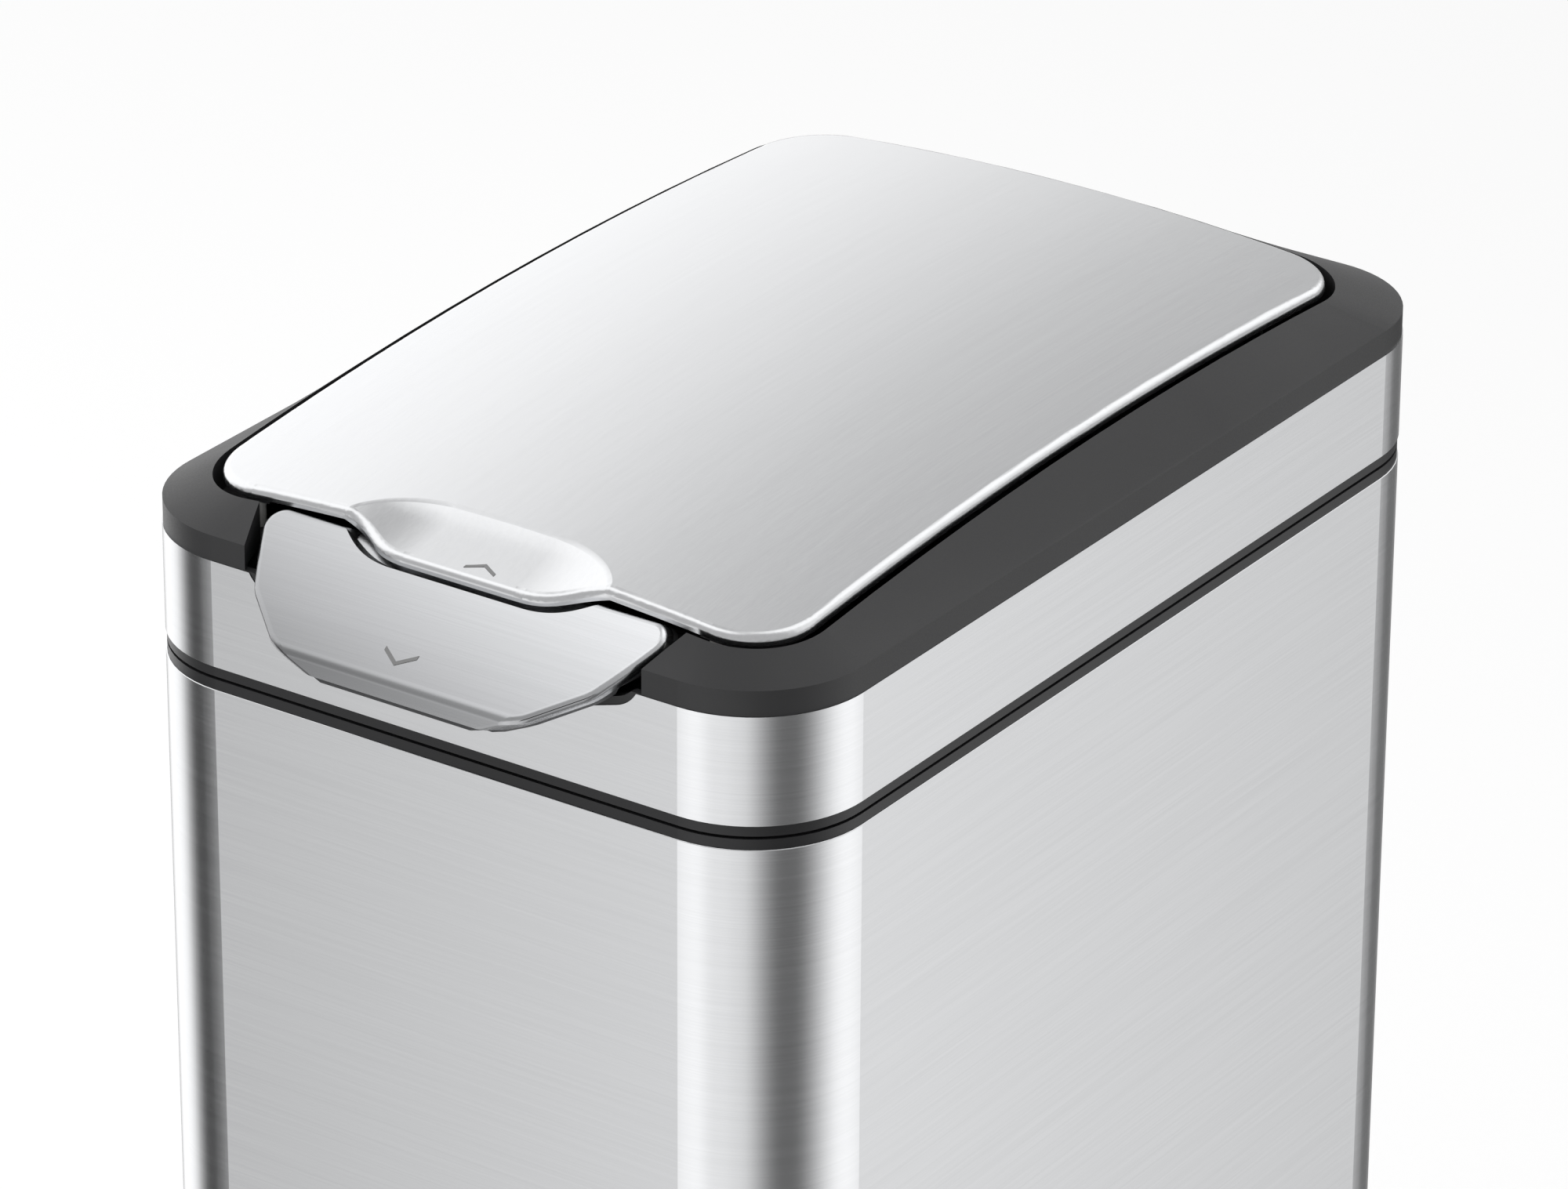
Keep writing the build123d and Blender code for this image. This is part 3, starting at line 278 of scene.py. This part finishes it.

# %% [markdown]
# ## Brushed steel
#
# The sheet is brushed before it is bent, so the grain runs level round the body and the
# hood, from front to back on the lid, and across the push tongue. In the photograph the
# scratches are so fine that they only just show: each is a hair wide and a few centimetres
# long. Noise stretched along the grain gives that: once fine for the scratches, once
# coarser for the slow change in shade between the strokes. Both shift the colour by a few
# parts in a hundred and the roughness by less, so the steel stays calm from a distance.
#
# The tongue is a little lighter at its right end and its upper edge, where its sheet is
# bowed towards the light. That light and shade is painted into its colour as a slow lean.

# %% Steel
def brushed_steel(name, along, tint=(0.62, 0.625, 0.635), gloss=0.2, grain=0.03, painted_light_lean=None):
    """Steel whose grain runs along one axis of the object, 0 for X, 1 for Y, 2 for level.

    The last argument, (across, along, middle), paints light and shade into the colour: lighter
    per metre of X, and of Y from a middle."""
    material = bpy.data.materials.new(name)
    sheet = Sheet(material)
    here = sheet.add("ShaderNodeTexCoord", out="Object")
    slow, fast = 16.0, 2400.0
    stretch = {0: (slow, fast, fast), 1: (fast, slow, fast), 2: (slow, slow, fast)}[along]
    coarser = [s * (0.35 if s == slow else 0.22) for s in stretch]
    fine = sheet.add("ShaderNodeMapping", None, {"Vector": here, "Scale": stretch})
    wide = sheet.add("ShaderNodeMapping", None, {"Vector": here, "Scale": coarser})
    hair = sheet.add("ShaderNodeTexNoise", {"noise_dimensions": "3D"},
                     {"Vector": fine, "Scale": 1.0, "Detail": 3.0, "Roughness": 0.62})
    stroke = sheet.add("ShaderNodeTexNoise", {"noise_dimensions": "3D"},
                       {"Vector": wide, "Scale": 1.0, "Detail": 2.0, "Roughness": 0.5})
    shade = hair * 0.6 + stroke * 0.4
    dark = [c * (1 - grain) for c in tint] + [1]
    light = [min(1, c * (1 + grain)) for c in tint] + [1]
    colour = sheet.between(sheet.smooth(shade, 0.3, 0.7), dark, light)
    # Painted light: the colour is made lighter to the right and up the slope, standing in for
    # the light the bowed sheet reflects.
    if painted_light_lean:
        across, along_y, middle = painted_light_lean
        x, y = sheet.split(here)[:2]
        colour = sheet.add("ShaderNodeVectorMath", {"operation": "SCALE"},
                           {0: colour, "Scale": x * across + (y - middle) * along_y + 1})
    rough = sheet.smooth(shade, 0.3, 0.7, gloss - 0.01, gloss + 0.015)
    steel = sheet.add("ShaderNodeBsdfPrincipled", None,
                      {"Base Color": colour, "Metallic": 1.0, "Roughness": rough})
    sheet.add("ShaderNodeOutputMaterial", None, {"Surface": steel})
    return material


tongue_middle = tongue_front + 22 * mm
level_steel = brushed_steel("steel_level_grain", 2)
lid_steel = brushed_steel("steel_lid_grain", 1, gloss=0.24, grain=0.018)
# The tongue's steel gets painted light and shade: lighter towards its right end and its upper
# edge.
tongue_steel = brushed_steel("steel_tongue_grain", 0, (0.44, 0.445, 0.455), 0.26,
                             painted_light_lean=(3.5, 13.0, tongue_middle))
zinc = brushed_steel("zinc_fastener", 1, (0.55, 0.56, 0.58), 0.3)
print("steel:", [m.name for m in (level_steel, lid_steel, tongue_steel, zinc)])

# %% [markdown]
# ## Moulded plastic
#
# The bezel, the seam and the works inside are dark plastic with a fine matt texture from
# the mould: no gloss spots, but a soft sheen where the surface turns away. A very fine
# noise bump breaks up the highlight, and a wide faint one in the shade and the sheen
# keeps the surface from looking ruled.

# %% Plastic
def moulded(name, colour, rough=0.42, texture=2600.0, strength=0.12):
    """Plastic or rubber with a moulded texture; strength is how deep the texture looks."""
    material = bpy.data.materials.new(name)
    sheet = Sheet(material)
    here = sheet.add("ShaderNodeTexCoord", out="Object")
    grain = sheet.add("ShaderNodeTexNoise", None,
                      {"Vector": here, "Scale": texture, "Detail": 2.0})
    cloud = sheet.add("ShaderNodeTexNoise", None,
                      {"Vector": here, "Scale": 22.0, "Detail": 2.0})
    low = [c * 0.92 for c in colour] + [1]
    high = [c * 1.08 for c in colour] + [1]
    shade = sheet.between(sheet.smooth(cloud, 0.3, 0.7), low, high)
    dull = sheet.smooth(grain * 0.6 + cloud * 0.4, 0.3, 0.7, rough - 0.05, rough + 0.07)
    bump = sheet.add("ShaderNodeBump", None,
                     {"Strength": strength, "Distance": 0.12 * mm, "Height": grain})
    plastic = sheet.add("ShaderNodeBsdfPrincipled", None,
                        {"Base Color": shade, "Roughness": dull, "IOR": 1.40, "Normal": bump})
    sheet.add("ShaderNodeOutputMaterial", None, {"Surface": plastic})
    return material


bezel_plastic = moulded("bezel_plastic", (0.022, 0.022, 0.023), rough=0.46)
seam_plastic = moulded("seam_plastic", (0.012, 0.012, 0.013), rough=0.40)
inner_plastic = moulded("inner_plastic", (0.045, 0.046, 0.048), rough=0.5)
bucket_plastic = moulded("bucket_plastic", (0.16, 0.165, 0.17), rough=0.45, texture=1500.0)
acetal = moulded("natural_acetal", (0.68, 0.67, 0.63), rough=0.35, strength=0.05)
pad_rubber = moulded("pad_rubber", (0.035, 0.035, 0.035), rough=0.7, strength=0.3)
soft_stop = moulded("soft_stop", (0.6, 0.6, 0.58), rough=0.4, strength=0.05)
mark_grey = moulded("mark_grey", (0.20, 0.20, 0.20), rough=0.5, strength=0.0)
print("plastics ready")

# %% [markdown]
# ## Who wears what
#
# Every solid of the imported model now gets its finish. The shell and the hood's band are
# the same sheet with a level grain; the lid and the tongue have their own. The catch, its
# striker and the damper's gear are natural acetal, which slides well and needs no colour.

# %% Finishes of the carried-over nodes
finishes = {
    level_steel: ["body_shell", "hood_band"],
    lid_steel: ["lid_plate"],
    tongue_steel: ["push_plate"],
    bezel_plastic: ["bezel"],
    seam_plastic: ["body_rim", "hood_ring"],
    inner_plastic: ["base_tray", "push_carrier", "latch_housing", "lid_liner", "lid_arm_left",
                    "lid_arm_right", "damper_body"],
    bucket_plastic: ["inner_bucket"],
    acetal: ["latch_hook", "lid_striker", "damper_gear"],
    pad_rubber: ["foot_pads"],
    soft_stop: ["lid_bumpers"],
    zinc: ["bezel_screws", "arm_screws", "damper_screws", "striker_screws", "latch_screws",
           "housing_screws", "push_pin", "hinge_rod", "rod_clips", "push_springs",
           "lid_spring_left", "lid_spring_right"],
}
for material, names in finishes.items():
    for name in names:
        for holder in node[name].material_slots:
            holder.material = material
bare = sorted(set(node) - {n for names in finishes.values() for n in names})
print("nodes without a finish:", bare)

# %% [markdown]
# ## Where to press and where to lift
#
# Two small arrowheads show the hand its place: one on the finger scoop that points up, and
# one on the tongue that points down. Each is a thin raised stroke. A flat grid of squares
# is laid above its place, its columns are slid back one after another until the strip
# bends in the middle, and then the strip is let down onto the steel and given a thickness.

# %% Arrowheads
start_height = 0.8
columns, rows = 12, 4
lift_off, stroke_depth = 0.02 * mm, 0.12 * mm


def arrowhead(name, carrier, body, x, y, width, stroke, bend):
    """A strip across X whose ends lie bend further along Y than its middle."""
    bpy.ops.object.select_all(action="DESELECT")
    bpy.ops.mesh.primitive_grid_add(x_subdivisions=columns, y_subdivisions=rows, size=1,
                                    location=(x, y, start_height))
    piece = bpy.context.object
    piece.name = name
    bpy.ops.object.mode_set(mode="EDIT")
    bpy.ops.mesh.select_all(action="SELECT")
    bpy.ops.transform.resize(value=(width, stroke, 1), center_override=(x, y, start_height))
    bpy.ops.object.mode_set(mode="OBJECT")
    bpy.ops.object.transform_apply(location=True, rotation=True, scale=True)
    for column in range(columns + 1):
        across = x + width * (column / columns - 0.5)
        bpy.ops.object.mode_set(mode="EDIT")
        bpy.ops.mesh.select_all(action="DESELECT")
        bpy.ops.object.mode_set(mode="OBJECT")
        for vertex in piece.data.vertices:
            vertex.select = abs(vertex.co.x - across) < 0.1 * mm
        bpy.ops.object.mode_set(mode="EDIT")
        bpy.ops.transform.translate(value=(0, bend * abs(across - x) * 2 / width, 0))
        bpy.ops.object.mode_set(mode="OBJECT")
    drop = piece.modifiers.new("let_down", "SHRINKWRAP")
    drop.target = node[carrier]
    drop.wrap_method = "PROJECT"
    drop.use_project_z = True
    drop.use_negative_direction = True
    drop.use_positive_direction = False
    drop.offset = lift_off
    thick = piece.modifiers.new("thickness", "SOLIDIFY")
    thick.thickness = stroke_depth
    thick.offset = 1
    bpy.context.view_layer.objects.active = piece
    for modifier in ("let_down", "thickness"):
        bpy.ops.object.modifier_apply(modifier=modifier)
    piece.data.materials.append(mark_grey)
    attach(piece, body)
    return piece


lift_mark = arrowhead("lift_mark", "lid_plate", "lid", 4 * mm, lid_front + 7 * mm,
                      11 * mm, 1.3 * mm, -3 * mm)
press_mark = arrowhead("press_mark", "push_plate", "push_tongue", -3 * mm,
                       tongue_front + 5.5 * mm, 12 * mm, 1.3 * mm, 3.5 * mm)
for piece in (lift_mark, press_mark):
    print(piece.name, "z", round(min(v.co.z for v in piece.data.vertices), 4))

# %% [markdown]
# ## Before the picture is taken
#
# The picture is shown with plain colours, so that white paper stays white.

# %% Finish
bpy.context.scene.view_settings.view_transform = "Standard"
